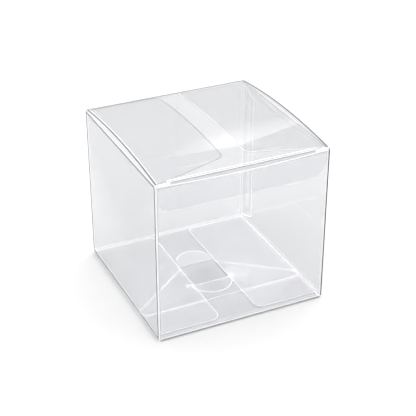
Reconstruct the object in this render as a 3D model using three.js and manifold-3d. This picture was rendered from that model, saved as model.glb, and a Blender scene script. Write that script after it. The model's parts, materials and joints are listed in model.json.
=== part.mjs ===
// A folding box of clear plastic sheet: one die-cut blank, creased and glued down one corner. A tuck lid
// closes the top, and a tongue pushed through a hole in the opposite flap locks the bottom.
// Millimetres, +Z up, the origin under the middle of the bottom. The lid hinges at the back, +Y.

import * as THREE from "three";
import { mergeVertices } from "three/addons/utils/BufferGeometryUtils.js";
import Module from "manifold-3d";

const wasm = await Module();
wasm.setup();

// Box, over its outer faces. The height is taken at the lid's creases.
const boxWidth = 100;
const boxDepth = 100;
const boxHeight = 94;

// Sheet and folds
const sheet = 0.3;
const foldRadius = 1; // outer radius of every crease
const creaseGap = 0.05; // between a moving flap and the crease that it hangs on
const layerGap = 0.1; // between bottom flaps that lie on each other

// Lid, tuck flap and dust flaps
const lidCrown = 3; // how far the flaps below push the lid's middle up
const lidSideInset = 0.8;
const tuckGap = 0.3; // between the tuck crease and the front panel
const tuckLength = 17; // below its crease
const tuckSideInset = 1.2;
const tuckCornerRadius = 9;
const tuckLean = THREE.MathUtils.degToRad(6); // inwards, which lets it swing clear of the front panel
const slitLength = 8; // cuts at both ends of the tuck crease
const slitDrop = 0.6; // how far the tuck flap's top edge lies lower along a slit
const frontEdgeDrop = 0.8; // top edge of the front panel, below the lid's top
const dustMiddleGap = 12; // between the two free edges
const dustTopGap = 0.3; // below the lid
const dustFrontInset = 1.4;
const dustBackInset = 1.2;
const dustSlant = THREE.MathUtils.degToRad(15.5);
const dustFrontRadius = 4;
const dustBackRadius = 3;

// Glue flap, bonded to the inside of the right panel
const glueReach = 14.5; // from the back face to its free edge
const glueSlant = THREE.MathUtils.degToRad(20);
const glueFoldClearance = 0.3; // to the folds above and below it
const glueThickness = 0.3;
const glueWidth = 5;
const glueEndInset = 4;

// Side flaps of the bottom
const sideTongueGap = 0.4; // beside the tongue, which lifts between them
const sideFrontInset = 4;
const sideBackInset = 1.2;
const sideFrontRadius = 5;
const sideBackRadius = 4;

// Tongue-and-hole lock of the bottom
const lockSideInset = 1; // both locking flaps, to the side panels' outer faces
const holeFromBack = 39; // straight edge of the hole, from the back face
const holeLength = 32;
const holeWidth = 24.5;
const backRim = 5.5; // from the hole's round end to the flap's free edge
const backCornerRadius = 4;
const frontStraight = 30; // where the front flap's sides turn inwards
const frontCornerRadius = 2;
const shoulderWidth = 25;
const shoulderInset = 2.5; // from the hole's straight edge to the shoulders
const tongueWidth = 21.2;
const tongueOverlap = 13.5; // how far the tongue reaches over the back flap
const strapLength = 20.5; // from the tongue's crease to the hole's straight edge
const slitClearance = 0.3; // on each side of the tongue
const hookRadius = 2;
const hookWidth = 0.4;

// Worked out from the sizes above
const lockPitch = sheet + layerGap;
const backLevel = lockPitch; // undersides of the bottom flaps
const sideLevel = 2 * lockPitch;
const dustTop = boxHeight - sheet - dustTopGap;
const lidReach = boxDepth - sheet - tuckGap; // from the back face to the tuck crease's outside
const lidHalf = boxWidth / 2 - lidSideInset;
const slitInnerX = lidHalf - slitLength;
const dustReach = (boxWidth - dustMiddleGap) / 2;
const glueInset = sheet + glueThickness; // from the right face to the glue flap
const holeEdge = boxDepth - holeFromBack; // from the front face
const backReach = holeFromBack + holeLength + backRim;
const tongueCrease = holeEdge - strapLength;
const sideReach = (boxWidth - tongueWidth) / 2 - sideTongueGap;
const cutDepth = 20; // tall enough to cut through any panel or flap
const curveSteps = 10; // per quarter turn
const crownSteps = 24;
const upwardAxis = new THREE.Vector3(0, 0, 1);

// A clear sheet's material; creased stretches are whiter and duller than flat ones.
function clearSheet(creased) {
  return new THREE.MeshStandardMaterial({
    color: creased ? 0xf2f4f8 : 0xe4e7ee,
    roughness: creased ? 0.3 : 0.06,
    metalness: 0,
    transparent: true,
    opacity: creased ? 0.5 : 0.28,
  });
}

function namedMesh(name, geometry, creased = false) {
  const mesh = new THREE.Mesh(geometry, clearSheet(creased));
  mesh.name = name;
  return mesh;
}

// A block between two corners.
function block(low, high) {
  const size = high.map((value, axis) => value - low[axis]);
  const middle = high.map((value, axis) => (value + low[axis]) / 2);
  return new THREE.BoxGeometry(...size).translate(...middle);
}

function extrude(shape, depth) {
  return new THREE.ExtrudeGeometry(shape, { depth, bevelEnabled: false, curveSegments: curveSteps });
}

// An outline through corners of the form [x, y, radius], rounded by an arc where there is a radius.
// The first corner is a sharp one.
function roundedOutline(corners) {
  const outline = new THREE.Shape();
  outline.moveTo(corners[0][0], corners[0][1]);
  corners.forEach(([x, y, radius], index) => {
    if (!radius) {
      outline.lineTo(x, y);
      return;
    }
    const corner = new THREE.Vector2(x, y);
    const neighbour = (step) => new THREE.Vector2(...corners.at((index + step) % corners.length));
    const before = neighbour(-1).sub(corner).normalize();
    const after = neighbour(1).sub(corner).normalize();
    const halfAngle = Math.acos(before.dot(after)) / 2;
    const start = before.clone().multiplyScalar(radius / Math.tan(halfAngle));
    const end = after.clone().multiplyScalar(radius / Math.tan(halfAngle));
    const centre = before.clone().add(after).setLength(radius / Math.sin(halfAngle));
    const from = start.clone().sub(centre).angle();
    const to = end.clone().sub(centre).angle();
    const clockwise = before.cross(after) > 0;
    outline.absarc(x + centre.x, y + centre.y, radius, from, to, clockwise);
  });
  outline.closePath();
  return outline;
}

function toSolid(geometry) {
  const bare = geometry.clone();
  bare.deleteAttribute("normal");
  bare.deleteAttribute("uv");
  const merged = mergeVertices(bare);
  const vertProperties = new Float32Array(merged.attributes.position.array);
  const triVerts = new Uint32Array(merged.index.array);
  return new wasm.Manifold(new wasm.Mesh({ numProp: 3, vertProperties, triVerts }));
}

function toGeometry(solid) {
  const mesh = solid.getMesh();
  const geometry = new THREE.BufferGeometry();
  geometry.setAttribute("position", new THREE.BufferAttribute(mesh.vertProperties, 3));
  geometry.setIndex(new THREE.BufferAttribute(mesh.triVerts, 1));
  geometry.computeVertexNormals();
  return geometry;
}

// A flat panel or flap: its outline, laid at height z.
function flatSheet(outline, z) {
  return extrude(outline, sheet).translate(0, 0, z);
}

// A quarter turn of sheet round the X axis, from the side facing -Y up or down to the level face.
// It runs along X with its outer faces at y = 0 and z = level.
function levelFold(halfLength, level, upwards) {
  const quarter = new THREE.Shape();
  quarter.absarc(0, 0, foldRadius, 0, Math.PI / 2, false);
  quarter.absarc(0, 0, foldRadius - sheet, Math.PI / 2, 0, true);
  const fold = extrude(quarter, 2 * halfLength);
  fold.translate(0, 0, -halfLength);
  fold.rotateZ(upwards ? Math.PI / 2 : Math.PI);
  fold.rotateY(Math.PI / 2);
  fold.rotateX(Math.PI / 2);
  const centreZ = upwards ? level - foldRadius : level + foldRadius;
  return fold.translate(0, foldRadius, centreZ);
}

// The vertical fold at the left end of a wall, seen from outside.
function uprightFold(x, low, high) {
  const quarter = new THREE.Shape();
  quarter.absarc(0, 0, foldRadius, Math.PI, 1.5 * Math.PI, false);
  quarter.absarc(0, 0, foldRadius - sheet, 1.5 * Math.PI, Math.PI, true);
  return extrude(quarter, high - low).translate(x + foldRadius, foldRadius, low);
}

// Each wall has a frame of its own: X runs to the right as seen from outside, Y points inwards from
// the outer face, and Z is up.
function wallFrame(turn, distance) {
  const frame = new THREE.Group();
  frame.rotation.z = turn;
  frame.position.set(0, -distance, 0).applyAxisAngle(upwardAxis, turn);
  return frame;
}

// A group whose children are drawn from the pivot and lean about it.
function hinged(pivot, lean) {
  const hinge = new THREE.Group();
  hinge.position.set(...pivot);
  hinge.rotation.x = lean;
  return hinge;
}

const front = wallFrame(0, boxDepth / 2);
const right = wallFrame(Math.PI / 2, boxWidth / 2);
const back = wallFrame(Math.PI, boxDepth / 2);
const left = wallFrame(-Math.PI / 2, boxWidth / 2);

// Walls

function wall(name, leftEnd, rightEnd, low, high) {
  return namedMesh(name, block([leftEnd, 0, low], [rightEnd, sheet, high]));
}

function uprightCrease(name, x, low = foldRadius) {
  return namedMesh(name, uprightFold(x, low, boxHeight - foldRadius), true);
}

function addWalls() {
  const halfWidth = boxWidth / 2;
  const halfDepth = boxDepth / 2;
  const sideTop = dustTop - foldRadius;
  const sideBottom = sideLevel + foldRadius;
  const frontTop = boxHeight - frontEdgeDrop;
  const rearLap = sheet + layerGap; // the right panel's cut edge, short of the back face
  front.add(
    wall("front_panel", foldRadius - halfWidth, halfWidth - foldRadius, foldRadius, frontTop),
    uprightCrease("front_left_crease", -halfWidth),
  );
  left.add(
    wall("left_panel", foldRadius - halfDepth, halfDepth - foldRadius, sideBottom, sideTop),
    uprightCrease("back_left_crease", -halfDepth),
  );
  right.add(
    wall("right_panel", foldRadius - halfDepth, halfDepth - rearLap, sideBottom, sideTop),
    uprightCrease("front_right_crease", -halfDepth),
  );
  const backLeftEnd = glueInset - halfWidth + foldRadius;
  back.add(
    wall("back_panel", backLeftEnd, halfWidth - foldRadius, backLevel + foldRadius, boxHeight - foldRadius),
    uprightCrease("back_right_crease", glueInset - halfWidth, backLevel + foldRadius),
  );
}

// The glue flap lies inside the right panel, slanted at both ends.
function addGlueFlap() {
  const rear = boxDepth / 2 - foldRadius;
  const free = boxDepth / 2 - glueReach;
  const low = sideLevel + foldRadius + glueFoldClearance;
  const high = dustTop - foldRadius - glueFoldClearance;
  const rise = (rear - free) * Math.tan(glueSlant);
  const outline = roundedOutline([
    [free, low + rise],
    [rear, low],
    [rear, high],
    [free, high - rise],
  ]);
  const flap = extrude(outline, sheet);
  flap.rotateX(Math.PI / 2);
  flap.translate(0, glueInset + sheet, 0);
  const middle = (rear + free) / 2;
  const end = rise + glueEndInset;
  const line = block(
    [middle - glueWidth / 2, sheet, low + end],
    [middle + glueWidth / 2, sheet + glueThickness, high - end],
  );
  right.add(namedMesh("glue_flap", flap), namedMesh("glue_line", line));
}

// How far the lid stands above its creases, at a distance from the back face
function crownHeight(fromBack) {
  const start = foldRadius + creaseGap;
  const share = (fromBack - start) / (lidReach - foldRadius - start);
  return 4 * lidCrown * share * (1 - share);
}

// Raises a sheet's points by what a rule gives for their X and Y.
function raise(geometry, rule) {
  const points = geometry.attributes.position;
  for (let index = 0; index < points.count; index += 1) {
    points.setZ(index, points.getZ(index) + rule(points.getX(index), points.getY(index)));
  }
  return geometry;
}

// Lid and tuck flap, in the back wall's frame

function crownedLid() {
  const start = foldRadius + creaseGap;
  const length = lidReach - start;
  const lid = new THREE.BoxGeometry(2 * lidHalf, length, sheet, 1, crownSteps, 1);
  lid.translate(0, start + length / 2, boxHeight - sheet / 2);
  return raise(lid, (x, fromBack) => crownHeight(fromBack));
}

// The lid's front edge steps back where the tuck crease starts; its ends lie free over the slits.
function addLid() {
  const start = foldRadius;
  const creaseStart = lidReach - foldRadius;
  const outline = roundedOutline([
    [-lidHalf, start],
    [lidHalf, start],
    [lidHalf, lidReach],
    [slitInnerX, lidReach],
    [slitInnerX, creaseStart],
    [-slitInnerX, creaseStart],
    [-slitInnerX, lidReach],
    [-lidHalf, lidReach],
  ]);
  const cutter = extrude(outline, cutDepth).translate(0, 0, boxHeight - cutDepth / 2);
  const lid = toSolid(crownedLid()).intersect(toSolid(cutter));
  back.add(namedMesh("lid_panel", toGeometry(lid)));
  back.add(namedMesh("lid_crease", levelFold(boxWidth / 2 - foldRadius, boxHeight, true), true));
  const tuckFold = levelFold(slitInnerX - creaseGap, boxHeight, true);
  tuckFold.rotateZ(Math.PI).translate(0, lidReach, 0);
  back.add(namedMesh("tuck_crease", tuckFold, true));
}

function addTuckFlap() {
  const half = boxWidth / 2 - tuckSideInset;
  const outline = roundedOutline([
    [-half, -slitDrop],
    [-slitInnerX, -slitDrop],
    [-slitInnerX, -creaseGap],
    [slitInnerX, -creaseGap],
    [slitInnerX, -slitDrop],
    [half, -slitDrop],
    [half, -tuckLength, tuckCornerRadius],
    [-half, -tuckLength, tuckCornerRadius],
  ]);
  const flap = extrude(outline, sheet).rotateX(Math.PI / 2);
  flap.translate(0, sheet, 0);
  const hinge = hinged([0, lidReach - sheet, boxHeight - foldRadius], -tuckLean);
  hinge.add(namedMesh("tuck_flap", flap));
  back.add(hinge);
}

// Dust flaps, in the side walls' frames. The front of the box is at +X in the left wall's frame and
// at -X in the right wall's. Their free edges bear on the lid and follow its crown.
function crownedDustFlap(frontwards) {
  const start = foldRadius + creaseGap;
  const length = dustReach - start;
  const flap = new THREE.BoxGeometry(boxDepth, length, sheet, crownSteps, 1, 1);
  flap.translate(0, start + length / 2, dustTop - sheet / 2);
  const share = (y) => (y - start) / length;
  return raise(flap, (x, y) => share(y) * crownHeight(boxDepth / 2 + frontwards * x));
}

function addDustFlap(side, name, frontwards) {
  const half = boxDepth / 2;
  const start = foldRadius + creaseGap;
  const frontX = half - dustFrontInset;
  const backX = dustBackInset - half;
  const slantedX = frontX - (dustReach - start) * Math.tan(dustSlant);
  const outline = roundedOutline([
    [frontwards * backX, start],
    [frontwards * frontX, start],
    [frontwards * slantedX, dustReach, dustFrontRadius],
    [frontwards * backX, dustReach, dustBackRadius],
  ]);
  const cutter = extrude(outline, cutDepth).translate(0, 0, dustTop - cutDepth / 2);
  const flap = toSolid(crownedDustFlap(frontwards)).intersect(toSolid(cutter));
  side.add(
    namedMesh(`${name}_crease`, levelFold(half - foldRadius, dustTop, true), true),
    namedMesh(`${name}_flap`, toGeometry(flap)),
  );
}

// Bottom side flaps, the innermost layer of the bottom
function addBottomSideFlap(side, name, frontwards) {
  const half = boxDepth / 2;
  const start = foldRadius + creaseGap;
  const frontX = half - sideFrontInset;
  const backX = sideBackInset - half;
  const outline = roundedOutline([
    [frontwards * backX, start],
    [frontwards * frontX, start],
    [frontwards * frontX, sideReach, sideFrontRadius],
    [frontwards * backX, sideReach, sideBackRadius],
  ]);
  side.add(
    namedMesh(`${name}_crease`, levelFold(half - foldRadius, sideLevel, false), true),
    namedMesh(`${name}_flap`, flatSheet(outline, sideLevel)),
  );
}

// The back flap of the bottom, with the round-ended hole that the tongue comes up through
function addBottomBackFlap() {
  const half = boxWidth / 2 - lockSideInset;
  const outline = roundedOutline([
    [-half, foldRadius],
    [half, foldRadius],
    [half, backReach, backCornerRadius],
    [-half, backReach, backCornerRadius],
  ]);
  const roundEnd = holeFromBack + holeLength - holeWidth / 2;
  const hole = new THREE.Path();
  hole.moveTo(-holeWidth / 2, holeFromBack);
  hole.lineTo(holeWidth / 2, holeFromBack);
  hole.absarc(0, roundEnd, holeWidth / 2, 0, Math.PI, false);
  hole.closePath();
  outline.holes.push(hole);
  back.add(
    namedMesh("bottom_back_crease", levelFold(boxWidth / 2 - foldRadius, backLevel, false), true),
    namedMesh("bottom_back_flap", flatSheet(outline, backLevel)),
  );
}

// A hooked end of one slit beside the tongue: a thin half ring that keeps the sheet from tearing on
function hookCutter(side) {
  const hook = new THREE.Shape();
  hook.absarc(0, 0, hookRadius + hookWidth / 2, 0, Math.PI, false);
  hook.absarc(0, 0, hookRadius - hookWidth / 2, Math.PI, 0, true);
  const centreX = side * (tongueWidth / 2 + slitClearance + hookRadius);
  return toSolid(extrude(hook, cutDepth).translate(centreX, tongueCrease, -cutDepth / 2));
}

// The front flap of the bottom narrows to two shoulders, with the tongue's place cut out between them.
function addBottomFrontFlap() {
  const half = boxWidth / 2 - lockSideInset;
  const shoulderY = holeEdge - shoulderInset;
  const slitX = tongueWidth / 2 + slitClearance;
  const outline = roundedOutline([
    [-half, foldRadius],
    [half, foldRadius],
    [half, frontStraight, frontCornerRadius],
    [shoulderWidth / 2, shoulderY],
    [slitX, shoulderY],
    [slitX, tongueCrease],
    [-slitX, tongueCrease],
    [-slitX, shoulderY],
    [-shoulderWidth / 2, shoulderY],
    [-half, frontStraight, frontCornerRadius],
  ]);
  let flap = toSolid(flatSheet(outline, 0));
  for (const side of [-1, 1]) {
    flap = flap.subtract(hookCutter(side));
  }
  front.add(
    namedMesh("bottom_front_crease", levelFold(boxWidth / 2 - foldRadius, 0, false), true),
    namedMesh("bottom_front_flap", toGeometry(flap)),
  );
}

// The tongue's side view: an arc that rises from the front flap's level to lie on the back flap
function tongueProfile(tip) {
  const rise = sideLevel;
  const radius = (strapLength ** 2 + rise ** 2) / (2 * rise);
  const slope = Math.asin(strapLength / radius);
  const top = Math.PI / 2;
  const profile = new THREE.Shape();
  profile.moveTo(tip, rise);
  profile.absarc(holeEdge, rise - radius, radius, top, top + slope, false);
  profile.lineTo(tongueCrease + creaseGap, sheet);
  profile.absarc(holeEdge, rise + sheet - radius, radius, top + slope, top, true);
  profile.lineTo(tip, rise + sheet);
  profile.closePath();
  return profile;
}

function addTongue() {
  const tip = holeEdge + tongueOverlap;
  const half = tongueWidth / 2;
  const band = extrude(tongueProfile(tip), 2 * half);
  band.translate(0, 0, -half);
  band.rotateX(Math.PI / 2);
  band.rotateZ(Math.PI / 2);
  const outline = new THREE.Shape();
  outline.moveTo(-half, tongueCrease + creaseGap);
  outline.lineTo(half, tongueCrease + creaseGap);
  outline.absarc(0, tip - half, half, 0, Math.PI, false);
  outline.closePath();
  const cutter = extrude(outline, cutDepth).translate(0, 0, -cutDepth / 2);
  front.add(namedMesh("lock_tongue", toGeometry(toSolid(band).intersect(toSolid(cutter)))));
}

addWalls();
addGlueFlap();
addLid();
addTuckFlap();
addDustFlap(left, "left_dust", 1);
addDustFlap(right, "right_dust", -1);
addBottomSideFlap(left, "bottom_left", 1);
addBottomSideFlap(right, "bottom_right", -1);
addBottomBackFlap();
addBottomFrontFlap();
addTongue();

const clearBox = new THREE.Group();
clearBox.add(front, right, back, left);

export default clearBox;
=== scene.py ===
import json
import math

import bmesh
import bpy
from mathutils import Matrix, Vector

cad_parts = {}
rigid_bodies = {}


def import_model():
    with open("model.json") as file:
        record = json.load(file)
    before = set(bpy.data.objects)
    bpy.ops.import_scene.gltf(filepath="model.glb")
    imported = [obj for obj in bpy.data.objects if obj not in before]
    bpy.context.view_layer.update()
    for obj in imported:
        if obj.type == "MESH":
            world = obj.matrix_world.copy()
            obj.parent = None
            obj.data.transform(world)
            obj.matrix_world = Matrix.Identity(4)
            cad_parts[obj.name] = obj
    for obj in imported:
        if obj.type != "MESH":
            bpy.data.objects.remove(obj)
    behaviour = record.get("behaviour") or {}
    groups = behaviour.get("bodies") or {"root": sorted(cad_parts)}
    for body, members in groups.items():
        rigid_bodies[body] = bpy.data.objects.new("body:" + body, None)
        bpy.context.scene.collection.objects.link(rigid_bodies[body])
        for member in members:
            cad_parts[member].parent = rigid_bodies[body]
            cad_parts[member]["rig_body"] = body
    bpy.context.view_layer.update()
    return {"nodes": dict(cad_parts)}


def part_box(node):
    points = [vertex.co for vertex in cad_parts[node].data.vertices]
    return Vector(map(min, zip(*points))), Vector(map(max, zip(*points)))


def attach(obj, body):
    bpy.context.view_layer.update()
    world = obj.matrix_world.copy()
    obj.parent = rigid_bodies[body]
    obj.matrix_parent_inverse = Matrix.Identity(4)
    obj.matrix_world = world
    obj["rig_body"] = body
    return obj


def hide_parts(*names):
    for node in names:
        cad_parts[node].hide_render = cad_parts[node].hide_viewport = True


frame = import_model()
print("frame loaded with", len(frame["nodes"]), "nodes")

mm = 0.001
axisNumber = {"x": 0, "y": 1, "z": 2}


# camera, floor and light

cameraView = {
    "lens": 94.85,  # on a 36 mm sensor, for a square picture
    "place": (-0.2276, -0.4865, 0.3501),
    "azimuth": -25.32,
    "elevation": 29.69,
}


def placeCamera(settings):
    camera = bpy.data.objects.new("studioCamera", bpy.data.cameras.new("studioCamera"))
    camera.data.lens = settings["lens"]
    camera.location = settings["place"]
    tilt = math.radians(90 - settings["elevation"])
    camera.rotation_euler = (tilt, 0, math.radians(settings["azimuth"]))
    bpy.context.scene.collection.objects.link(camera)
    bpy.context.scene.camera = camera


def startMaterial(name):
    material = bpy.data.materials.new(name)
    material.use_nodes = True
    material.node_tree.nodes.clear()
    return material, material.node_tree


def addNode(tree, kind, inputs=None, **options):
    node = tree.nodes.new(kind)
    for option, value in options.items():
        setattr(node, option, value)
    for socket, value in (inputs or {}).items():
        if hasattr(value, "is_output"):
            tree.links.new(value, node.inputs[socket])
        else:
            node.inputs[socket].default_value = value
    return node


def reckon(tree, operation, *values):
    inputs = dict(enumerate(values))
    return addNode(tree, "ShaderNodeMath", inputs, operation=operation).outputs[0]


def remap(tree, value, span, result=(0, 1), blend="LINEAR"):
    inputs = {
        "Value": value,
        "From Min": span[0],
        "From Max": span[1],
        "To Min": result[0],
        "To Max": result[1],
    }
    return addNode(tree, "ShaderNodeMapRange", inputs, interpolation_type=blend).outputs[0]


def softStep(tree, value, span, result):
    return remap(tree, value, span, result, "SMOOTHSTEP")


room = {
    "wallGlow": 0.86,  # brightness of the walls
    "ceilingGlow": 1.3,  # how much brighter the ceiling is
    "ceiling": (0.62, 0.85),  # sines of the elevations where it starts and is full
    "boxGlow": 1.25,  # how much brighter the soft box behind the object is
    "boxFoot": (0.45, 0.545),  # its soft lower edge, as sines
    "boxHead": (0.561, 0.571),  # its crisp upper edge, as sines
    "boxSlant": (1.3, 0.52),  # the upper edge falls by this much per radian, past this angle
    "boxLeft": (0.42, 0.5),  # its sides, as angles from +Y towards +X
    "boxRight": (0.56, 0.58),
}


def lightRoom(settings):
    world = bpy.data.worlds.new("softRoom")
    world.use_nodes = True
    tree = world.node_tree
    tree.nodes.clear()
    direction = addNode(tree, "ShaderNodeTexCoord")
    parts = addNode(tree, "ShaderNodeSeparateXYZ", {0: direction.outputs["Generated"]})
    height = parts.outputs["Z"]
    around = reckon(tree, "ARCTAN2", parts.outputs["X"], parts.outputs["Y"])
    fall, start = settings["boxSlant"]
    past = reckon(tree, "MAXIMUM", reckon(tree, "SUBTRACT", around, start), 0.0)
    slanted = reckon(tree, "MULTIPLY_ADD", past, fall, height)
    wallGlow = settings["wallGlow"]
    glows = (wallGlow, wallGlow + settings["ceilingGlow"])
    glow = softStep(tree, height, settings["ceiling"], glows)
    box = softStep(tree, height, settings["boxFoot"], (0, settings["boxGlow"]))
    box = reckon(tree, "MULTIPLY", box, softStep(tree, slanted, settings["boxHead"], (1, 0)))
    box = reckon(tree, "MULTIPLY", box, softStep(tree, around, settings["boxLeft"], (0, 1)))
    side = softStep(tree, around, settings["boxRight"], (1, 0))
    glow = reckon(tree, "MULTIPLY_ADD", box, side, glow)
    sky = addNode(tree, "ShaderNodeBackground", {"Color": (1, 1, 1, 1), "Strength": glow})
    addNode(tree, "ShaderNodeOutputWorld", {"Surface": sky.outputs[0]})
    bpy.context.scene.world = world


keyLight = {
    "place": (1.1, 0.9, 2.9),
    "size": 1.2,
    "power": 20.0,
}


def hangLight(settings):
    lamp = bpy.data.lights.new("keyLight", "AREA")
    lamp.size = settings["size"]
    lamp.energy = settings["power"]
    key = bpy.data.objects.new("keyLight", lamp)
    key.location = settings["place"]
    key.rotation_euler = key.location.to_track_quat("Z", "Y").to_euler()
    key.visible_glossy = False  # only the room is mirrored in the sheets
    bpy.context.scene.collection.objects.link(key)


paleFloor = {
    "color": (0.72, 0.72, 0.72, 1),
    "size": 12.0,
    "gap": 0.3 * mm,  # below the box
}


def layFloor(settings):
    bm = bmesh.new()
    bmesh.ops.create_grid(bm, x_segments=1, y_segments=1, size=settings["size"] / 2)
    bmesh.ops.translate(bm, verts=bm.verts, vec=(0, 0, -settings["gap"]))
    mesh = bpy.data.meshes.new("paleFloor")
    bm.to_mesh(mesh)
    bm.free()
    floor = bpy.data.objects.new("paleFloor", mesh)
    bpy.context.scene.collection.objects.link(floor)
    material, tree = startMaterial("palePaper")
    paper = addNode(tree, "ShaderNodeBsdfDiffuse", {"Color": settings["color"]})
    addNode(tree, "ShaderNodeOutputMaterial", {"Surface": paper.outputs[0]})
    mesh.materials.append(material)


clearLayers = 64  # how many of them a ray may pass

placeCamera(cameraView)
lightRoom(room)
hangLight(keyLight)
layFloor(paleFloor)
bpy.context.scene.view_settings.view_transform = "Standard"
bpy.context.scene.cycles.transparent_max_bounces = clearLayers
print("camera, light and floor set")


# materials

# what every film and the bright lip along its cut edges share; the lip is a painted highlight,
# with glow
film = {
    "gloss": 1.9,  # index that gives the shine of a sheet's two faces together
    "polish": 0.03,
    "rippleScale": 22.0,
    "rippleDetail": 1.0,
    "rippleHeight": 0.12 * mm,
    "hazeScale": 60.0,
    "hazeDetail": 4.0,
    "hazeSpan": (0.3, 0.7),  # noise values where the haze is thinnest and thickest
    "hazeSpread": (0.95, 1.05),  # and how thick it is there
    "hazeColor": (0.95, 0.95, 0.96, 1),
    "lip": 0.85,  # how much of the sheet the lip covers
    "lipColor": (0.97, 0.97, 0.98, 1),
    "lipGlow": 0.3,  # light that the sheet pipes to its cut edges
}

# what one sheet lets through, how milky it is, and how its lip differs
# the pieces are one film, so the tints that differ between them are lighter and darker copies
# of it, painted light and shade
filmKinds = {
    "wall": {"tint": (0.895, 0.897, 0.907, 1), "haze": 0.02},
    "right": {"tint": (0.87, 0.872, 0.882, 1), "haze": 0.02},
    "lid": {"tint": (0.872, 0.874, 0.884, 1), "haze": 0.02, "lip": 0.8},
    "dust": {"tint": (0.95, 0.952, 0.96, 1), "haze": 0.02, "lip": 0.8},
    # the left dust flap's film, whose lip is painted dark as shade
    "dullDust": {
        "tint": (0.95, 0.952, 0.96, 1),
        "haze": 0.02,
        "lip": 0.6,  # this edge catches no light
        "lipGlow": 0.0,
        "lipColor": (0.42, 0.42, 0.43, 1),
    },
    "tuck": {"tint": (0.91, 0.912, 0.922, 1), "haze": 0.02, "lip": 0.3},
    # the lock and side flaps' thick haze is partly real milkiness and partly painted light that
    # brightens stacked layers
    "lock": {"tint": (0.97, 0.972, 0.977, 1), "haze": 0.2, "lipGlow": 0.5},
    # the lock flaps' lips under the side flaps are painted brighter, with more glow, so they
    # show through
    "veiled": {"tint": (0.97, 0.972, 0.977, 1), "haze": 0.2, "lip": 0.95, "lipGlow": 1.4},
    "strap": {"tint": (0.96, 0.962, 0.97, 1), "haze": 0.04, "lipGlow": 0.4},
    "side": {"tint": (0.985, 0.985, 0.99, 1), "haze": 0.47},
    "glued": {
        "tint": (0.985, 0.986, 0.99, 1),
        "haze": 0.02,
        "gloss": 1.15,  # wetted by the glue
        "lipGlow": 0.6,
    },
}
plainKinds = ("dust", "dullDust", "lock", "side", "glued")  # films of the pieces without marks

# painted color of a cut face, standing in for the shade at the sheet's edge, and how much of
# the face it covers
cutKinds = {
    "cutFace": ((0.75, 0.75, 0.76, 1), 0.6),
    "cutShade": ((0.16, 0.16, 0.175, 1), 0.85),
}


def mixShader(tree, share, first, second):
    return addNode(tree, "ShaderNodeMixShader", {0: share, 1: first, 2: second}).outputs[0]


def addNoise(tree, place, scale, detail):
    inputs = {"Vector": place, "Scale": scale, "Detail": detail}
    return addNode(tree, "ShaderNodeTexNoise", inputs).outputs[0]


def clearShader(tree, kind):
    settings = {**film, **filmKinds[kind]}
    place = addNode(tree, "ShaderNodeTexCoord").outputs["Object"]
    ripple = addNoise(tree, place, settings["rippleScale"], settings["rippleDetail"])
    bumpInputs = {"Distance": settings["rippleHeight"], "Height": ripple}
    bump = addNode(tree, "ShaderNodeBump", bumpInputs).outputs[0]
    shine = addNode(tree, "ShaderNodeFresnel", {"IOR": settings["gloss"], "Normal": bump})
    mirrorInputs = {"Roughness": settings["polish"], "Normal": bump}
    mirror = addNode(tree, "ShaderNodeBsdfAnisotropic", mirrorInputs)
    clear = addNode(tree, "ShaderNodeBsdfTransparent", {"Color": settings["tint"]})
    skin = mixShader(tree, shine.outputs[0], clear.outputs[0], mirror.outputs[0])
    cloud = addNoise(tree, place, settings["hazeScale"], settings["hazeDetail"])
    thickness = [settings["haze"] * share for share in settings["hazeSpread"]]
    veil = remap(tree, cloud, settings["hazeSpan"], thickness)
    milk = addNode(tree, "ShaderNodeBsdfDiffuse", {"Color": settings["hazeColor"]})
    return mixShader(tree, veil, skin, milk.outputs[0])


def oneSided(tree, shader):
    # a sheet has two faces, and only the one that light meets first tints and shines
    side = addNode(tree, "ShaderNodeNewGeometry")
    through = addNode(tree, "ShaderNodeBsdfTransparent")
    both = mixShader(tree, side.outputs["Backfacing"], shader, through.outputs[0])
    addNode(tree, "ShaderNodeOutputMaterial", {"Surface": both})


paleThrough = 0.5  # share of a pale mark's light that comes through from behind


def glowingShader(tree, color, strength):
    front = addNode(tree, "ShaderNodeBsdfDiffuse", {"Color": color})
    behind = addNode(tree, "ShaderNodeBsdfTranslucent", {"Color": color})
    pale = mixShader(tree, paleThrough, front.outputs[0], behind.outputs[0])
    glow = addNode(tree, "ShaderNodeEmission", {"Color": color, "Strength": strength})
    return addNode(tree, "ShaderNodeAddShader", {0: pale, 1: glow.outputs[0]}).outputs[0]


def makeFilm(kind):
    material, tree = startMaterial(kind + "Film")
    oneSided(tree, clearShader(tree, kind))
    return material


def makeLip(kind):
    material, tree = startMaterial(kind + "Lip")
    settings = {**film, **filmKinds[kind]}
    # the lip is painted light over the film: a pale color with glow, or a dark one where the
    # edge catches no light
    bright = glowingShader(tree, settings["lipColor"], settings["lipGlow"])
    oneSided(tree, mixShader(tree, settings["lip"], clearShader(tree, kind), bright))
    return material


def makeCut(name, color, cover):
    material, tree = startMaterial(name)
    face = addNode(tree, "ShaderNodeBsdfDiffuse", {"Color": color})
    clear = addNode(tree, "ShaderNodeBsdfTransparent")
    mixed = mixShader(tree, cover, clear.outputs[0], face.outputs[0])
    addNode(tree, "ShaderNodeOutputMaterial", {"Surface": mixed})
    return material


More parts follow.
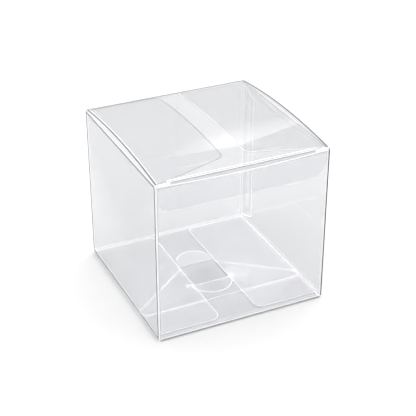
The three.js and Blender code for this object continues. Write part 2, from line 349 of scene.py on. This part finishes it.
# the marks painted on the sheets, their color and how much of the sheet they cover: the lighter
# tones are painted light and highlight, at folds partly the real whitening of the stretched
# sheet, and the grey and darker ones are painted shade
tones = {
    "clear": (0.9, 0.9, 0.91, 0.0),
    "milky": (0.95, 0.95, 0.96, 0.3),
    "cloudy": (0.96, 0.96, 0.97, 0.6),
    "pale": (0.96, 0.96, 0.97, 0.88),
    "breath": (0.4, 0.4, 0.41, 0.09),
    "mist": (0.4, 0.4, 0.41, 0.19),
    "smoke": (0.5, 0.5, 0.51, 0.4),
    "grey": (0.42, 0.42, 0.44, 0.5),
    "dusk": (0.33, 0.33, 0.35, 0.7),
    "dark": (0.2, 0.2, 0.215, 0.8),
    "deep": (0.05, 0.05, 0.06, 0.93),
}
markGlow = 0.12  # light that spreads inside the sheet and leaves it at the marks
turnBlur = 0.035  # softness of the line between two marks of a fold
sideBlur = 0.14 * mm  # and between two marks beside it
spotCore = 0.4  # share of a spot's radius inside which it is full
rampEnd = 0.001  # how close to a ramp's ends its inner stops may lie


def markRamp(tree, value, marks, blur):
    # marks is a row of (where it ends, tone), from 0 to 1 along the value
    ramp = addNode(tree, "ShaderNodeValToRGB", {"Fac": value})
    stops = ramp.color_ramp.elements
    stops[0].position = 0.0
    stops[0].color = tones[marks[0][1]]
    for (end, tone), (_, nextTone) in zip(marks, marks[1:]):
        stops.new(max(end - blur, rampEnd)).color = tones[tone]
        stops.new(min(end + blur, 1 - rampEnd)).color = tones[nextTone]
    stops[-1].position = 1.0
    stops[-1].color = tones[marks[-1][1]]
    return ramp.outputs["Color"], ramp.outputs["Alpha"]


def markedShader(tree, kind, color, cover):
    mark = glowingShader(tree, color, markGlow)
    return mixShader(tree, cover, clearShader(tree, kind), mark)


def strongerMark(tree, first, second):
    # a mark is its color and its cover, and where two meet the one that covers more is seen
    closer = reckon(tree, "GREATER_THAN", second[1], first[1])
    colors = {"Fac": closer, "Color1": first[0], "Color2": second[0]}
    color = addNode(tree, "ShaderNodeMixRGB", colors).outputs[0]
    return color, reckon(tree, "MAXIMUM", first[1], second[1])


def pieceName(node, ending):
    words = node.split("_")
    return words[0] + "".join(word.capitalize() for word in words[1:]) + ending


def sideEdge(box, side):
    # a side is a sign and an axis, such as "+x", and inwards is the way from it into the box
    axis = axisNumber[side[1]]
    end, inwards = (1, -1) if side[0] == "+" else (0, 1)
    return axis, box[end][axis], inwards


def placeInside(box, insets):
    # how far in from each named side, in mm, and halfway along an axis that isn't named
    place = (box[0] + box[1]) / 2
    for side, inset in insets.items():
        axis, edge, inwards = sideEdge(box, side)
        place[axis] = edge + inwards * inset * mm
    return place


def makeFold(node, axis, marks):
    # a fold gets a painted highlight on one shoulder and painted shade on the other, by which
    # way its surface faces; the white is partly the real whitening of the stretched sheet
    material, tree = startMaterial(pieceName(node, "Mark"))
    place = addNode(tree, "ShaderNodeTexCoord")
    parts = addNode(tree, "ShaderNodeSeparateXYZ", {0: place.outputs["Normal"]})
    turned = reckon(tree, "ABSOLUTE", parts.outputs[axisNumber[axis]])
    color, cover = markRamp(tree, turned, marks, turnBlur)
    oneSided(tree, markedShader(tree, "wall", color, cover))
    return material


def makeStrainAndLightFilm(node, kind):
    # a film with the painted light and shade, and the strain spots, that the tables below give
    # to the node
    material, tree = startMaterial(pieceName(node, "Film"))
    place = addNode(tree, "ShaderNodeTexCoord").outputs["Object"]
    parts = addNode(tree, "ShaderNodeSeparateXYZ", {0: place})
    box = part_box(node)
    mark = ((*tones["clear"][:3], 1), 0.0)
    for side, marks in sideLightAndShade[node]:
        axis, edge, inwards = sideEdge(box, side)
        reach = marks[-1][0] * mm + 2 * sideBlur
        share = remap(tree, parts.outputs[axis], (edge, edge + inwards * reach))
        shares = [(end * mm / reach, tone) for end, tone in marks] + [(1, "clear")]
        mark = strongerMark(tree, mark, markRamp(tree, share, shares, sideBlur / reach))
    for insets, radius, tone in strainAndPaintedLightSpots.get(node, ()):
        ends = {0: place, 1: placeInside(box, insets)}
        gap = addNode(tree, "ShaderNodeVectorMath", ends, operation="DISTANCE")
        span = (spotCore * radius * mm, radius * mm)
        cover = softStep(tree, gap.outputs["Value"], span, (tones[tone][3], 0.0))
        mark = strongerMark(tree, mark, ((*tones[tone][:3], 1), cover))
    oneSided(tree, markedShader(tree, kind, *mark))
    return material


films = {kind: makeFilm(kind) for kind in plainKinds}
lips = {kind: makeLip(kind) for kind in filmKinds}
cuts = {name: makeCut(name, *settings) for name, settings in cutKinds.items()}
print("materials made")


# folds, two plain walls and the glue line keep their shape from the frame, with a new finish of
# painted light and shade on the folds and walls

# each fold's painted highlight and shade, by how far its surface has turned towards an axis
foldLightAndShade = {
    "front_left_crease": ("x", ((0.8, "pale"), (1, "dark"))),
    "back_left_crease": ("y", ((0.5, "dark"), (1, "pale"))),
    "front_right_crease": ("x", ((0.97, "deep"), (1, "pale"))),
    "back_right_crease": ("x", ((0.5, "pale"), (1, "clear"))),
    "lid_crease": ("y", ((1, "dusk"),)),
    "tuck_crease": ("y", ((0.25, "clear"), (0.64, "pale"), (0.88, "dark"), (1, "smoke"))),
    "left_dust_crease": ("x", ((0.68, "pale"), (1, "dark"))),
    "right_dust_crease": ("x", ((0.5, "pale"), (1, "dusk"))),
    # the deep tones of the bottom folds are a painted contact shadow where the box meets the
    # floor
    "bottom_front_crease": ("z", ((0.4, "pale"), (1, "deep"))),
    "bottom_back_crease": ("z", ((0.97, "pale"), (1, "clear"))),
    "bottom_left_crease": ("z", ((0.25, "pale"), (1, "deep"))),
    "bottom_right_crease": ("z", ((0.35, "dark"), (1, "pale"))),
}

# the painted light and shade along a sheet's sides, pale strips as painted highlights and grey
# and
# dark ones as painted shade: how far in from that side each ends, in mm
sideLightAndShade = {
    "left_panel": (
        ("-y", ((0.25, "dark"),)),
        ("+y", ((1.2, "dark"), (2.4, "pale"))),
        # the deep line along the left wall's foot is a painted contact shadow
        ("-z", ((0.7, "deep"), (1.5, "pale"))),
    ),
    "back_panel": (
        ("-z", ((1.2, "pale"),)),
        ("+x", ((0.5, "pale"),)),
        ("+z", ((0.6, "pale"),)),
    ),
    "front_panel": (
        ("-x", ((0.45, "grey"),)),
        ("+x", ((0.25, "dark"), (0.8, "pale"))),
        ("-z", ((0.5, "pale"),)),
    ),
    "right_panel": (
        ("-z", ((1.0, "pale"),)),
        ("+y", ((0.5, "grey"),)),
    ),
    "lid_panel": (
        ("+x", ((2.8, "smoke"),)),
        ("-y", ((0.4, "pale"),)),
    ),
    "tuck_flap": (("+z", ((2.2, "smoke"),)),),
    "bottom_right_flap": (("+x", ((0.4, "pale"), (1.0, "grey"))),),
    # the light strip along the front flap's edge is painted light that lifts the shade under
    # the side flaps
    "bottom_front_flap": (("-y", ((0.8, "pale"), (3.6, "milky"))),),
    "lock_tongue": (("+y", ((13.5, "cloudy"),)),),
}

# spots as (place, radius, tone), in mm: small white ones at the ends of a slit, where the sheet
# is strained, and wide soft ones, lighter or darker, which are painted light and painted shade
strainAndPaintedLightSpots = {
    # painted shade that darkens the top of the left wall
    "left_panel": (({"-x": 0, "+z": -7.6}, 80.0, "mist"),),
    "lid_panel": (
        ({"-x": 7.0, "-y": 1.2, "-z": 0.62}, 1.0, "pale"),
        ({"+x": 2.7, "-y": 0.8, "-z": 0.62}, 0.9, "pale"),
    ),
    "bottom_front_flap": (
        ({"-x": 37.0, "+y": 19.0, "+z": 0}, 0.7, "pale"),
        ({"+x": 37.0, "+y": 19.0, "+z": 0}, 0.7, "pale"),
        ({"-x": 15.0, "+y": 17.5, "+z": 0}, 20.0, "cloudy"),
        ({"+x": 20.0, "+y": 17.5, "+z": 0}, 20.0, "cloudy"),
        ({"+y": 22.5, "+z": 0}, 9.0, "breath"),
    ),
    "bottom_right_flap": (({"-x": 4.0, "-y": 37.0, "+z": 0}, 12.0, "cloudy"),),
    "lock_tongue": (({"-y": 5.45, "+z": 0.1}, 12.0, "breath"),),
}


def dressNode(node, material):
    for slot in frame["nodes"][node].material_slots:
        slot.link = "OBJECT"
        slot.material = material


for node, (axis, marks) in foldLightAndShade.items():
    dressNode(node, makeFold(node, axis, marks))
for node in ("back_panel", "left_panel"):
    dressNode(node, makeStrainAndLightFilm(node, "wall"))
dressNode("glue_line", films["glued"])
print("folds, walls and glue line dressed")


# panels and flaps, with a bright lip along their free cut edges, painted as a highlight

lipWidth = 0.6 * mm  # where a sheet gives none of its own
plainReach = 1.6 * mm  # how far from a fold, or from a quiet side, no lip shows
weldReach = 0.001 * mm  # corners closer than this become one
flatAngle = 0.002  # radians, and faces that turn by less become one
sharpAngle = math.radians(30)  # edges that turn by more stay crisp
broadNormal = 0.9  # how far along the thin axis a broad face's normal reaches
plainSlot, lipSlot, cutSlot, shadeSlot, veiledSlot = range(5)  # a sheet's material slots

# both flaps of the lock, whose lips the tongue hides around itself, as far as slotSide to the
# left and right and from slotStart to slotEnd, and the side flaps veil beyond veil
tongueLow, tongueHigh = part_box("lock_tongue")
lockFlap = {
    "film": "lock",
    "thin": "z",
    "lip": 0.4 * mm,
    "slotSide": tongueHigh.x + 2.0 * mm,
    "slotStart": tongueLow.y + 0.95 * mm,
    "slotEnd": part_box("bottom_front_flap")[1].y - 0.5 * mm,
    "veil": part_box("bottom_right_flap")[0].x,
}

# folds and quiet sides show no lip, and shade is the painted dark outer line of the lid's cut
# edges
sheets = {
    "front_panel": {"film": "wall", "thin": "y", "folds": ("-x", "+x", "-z"), "lip": 0.45 * mm},
    "right_panel": {"film": "right", "thin": "x", "folds": ("-y", "-z", "+z")},
    "glue_flap": {"film": "glued", "thin": "x", "folds": ("+y",)},
    "lid_panel": {
        "film": "lid",
        "thin": "z",
        "folds": ("-y", "+y"),
        "quiet": ("+x",),
        "shade": 0.75 * mm,
    },
    "tuck_flap": {"film": "tuck", "thin": "y", "folds": ("+z",)},
    "left_dust_flap": {"film": "dullDust", "thin": "z", "folds": ("-x",)},
    "right_dust_flap": {"film": "dust", "thin": "z", "folds": ("+x",)},
    "bottom_front_flap": {**lockFlap, "folds": ("-y",)},
    "bottom_back_flap": {**lockFlap, "folds": ("+y",)},
    "bottom_left_flap": {"film": "side", "thin": "z", "folds": ("-x",)},
    "bottom_right_flap": {"film": "side", "thin": "z", "folds": ("+x",)},
    "lock_tongue": {"film": "strap", "thin": "z", "folds": ("-y",), "quiet": ("-x", "+x")},
}


def sheetFromNode(node):
    bm = bmesh.new()
    bm.from_mesh(frame["nodes"][node].data)
    bmesh.ops.remove_doubles(bm, verts=bm.verts, dist=weldReach)
    bmesh.ops.dissolve_limit(bm, angle_limit=flatAngle, verts=bm.verts, edges=bm.edges)
    return bm


def nearSide(point, box, sides):
    for side in sides:
        axis, edge, _ = sideEdge(box, side)
        if abs(point[axis] - edge) < plainReach:
            return True
    return False


def splitSheet(bm, axis, places):
    direction = [0, 0, 0]
    direction[axis] = 1
    for place in places:
        cut = [0, 0, 0]
        cut[axis] = place
        everything = bm.verts[:] + bm.edges[:] + bm.faces[:]
        bmesh.ops.bisect_plane(bm, geom=everything, plane_co=cut, plane_no=direction)


def addRings(bm, settings):
    # insets both broad sides, once for each line along the cut edges, the outermost first
    axis = axisNumber[settings["thin"]]
    broad = [face for face in bm.faces if abs(face.normal[axis]) > broadNormal]
    for face in bm.faces:
        face.material_index = cutSlot
    for face in broad:
        face.material_index = plainSlot
    rings = [(lipSlot, settings.get("lip", lipWidth))]
    if "shade" in settings:
        rings.insert(0, (shadeSlot, settings["shade"]))
    for slot, width in rings:
        grown = bmesh.ops.inset_region(
            bm, faces=broad, thickness=width, use_even_offset=True, use_boundary=True
        )
        for face in grown["faces"]:
            face.material_index = slot


def clearFoldsAndSides(bm, box, settings):
    # no ring shows at a fold, and no lip at a quiet side
    for face in bm.faces:
        center = face.calc_center_median()
        isLip = face.material_index == lipSlot
        quiet = nearSide(center, box, settings.get("quiet", ()))
        if nearSide(center, box, settings["folds"]) or (quiet and isLip):
            face.material_index = plainSlot


def hideLockLips(bm, settings):
    for face in bm.faces:
        if face.material_index != lipSlot:
            continue
        center = face.calc_center_median()
        along = settings["slotStart"] < center.y < settings["slotEnd"]
        if abs(center.x) < settings["slotSide"] and along:
            face.material_index = plainSlot
        elif abs(center.x) > settings["veil"]:
            # beyond veil the lip is painted brighter so that it shows through the side flaps
            face.material_index = veiledSlot


def addLip(bm, node, settings):
    isLock = "veil" in settings
    if isLock:
        splitSheet(bm, axisNumber["x"], (-settings["veil"], settings["veil"]))
    addRings(bm, settings)
    clearFoldsAndSides(bm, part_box(node), settings)
    if isLock:
        hideLockLips(bm, settings)


def finishSheet(bm, node, kind):
    name = pieceName(node, "Sheet")
    mesh = bpy.data.meshes.new(name)
    for face in bm.faces:
        face.smooth = True
    bm.to_mesh(mesh)
    bm.free()
    mesh.set_sharp_from_angle(angle=sharpAngle)
    plain = makeStrainAndLightFilm(node, kind) if node in sideLightAndShade else films[kind]
    # in the order of the slots
    for material in (plain, lips[kind], cuts["cutFace"], cuts["cutShade"], lips["veiled"]):
        mesh.materials.append(material)
    piece = bpy.data.objects.new(name, mesh)
    bpy.context.scene.collection.objects.link(piece)
    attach(piece, frame["nodes"][node]["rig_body"])
    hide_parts(node)


bulge = {
    "reach": 2.6 * mm,  # how far the tuck flap pushes the front panel's top edge out
    "columns": 20,
    "rows": 14,
}


def bulgeFront(bm, settings):
    low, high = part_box("front_panel")
    for name, count in (("x", settings["columns"]), ("z", settings["rows"])):
        axis = axisNumber[name]
        size = high[axis] - low[axis]
        splitSheet(bm, axis, [low[axis] + size * step / count for step in range(1, count)])
    for vert in bm.verts:
        across = vert.co.x / high.x
        up = (vert.co.z - low.z) / (high.z - low.z)
        vert.co.y -= settings["reach"] * (1 - across**2) * up**2


for node, settings in sheets.items():
    bm = sheetFromNode(node)
    addLip(bm, node, settings)
    if node == "front_panel":
        bulgeFront(bm, bulge)
    finishSheet(bm, node, settings["film"])
print("panels and flaps made")
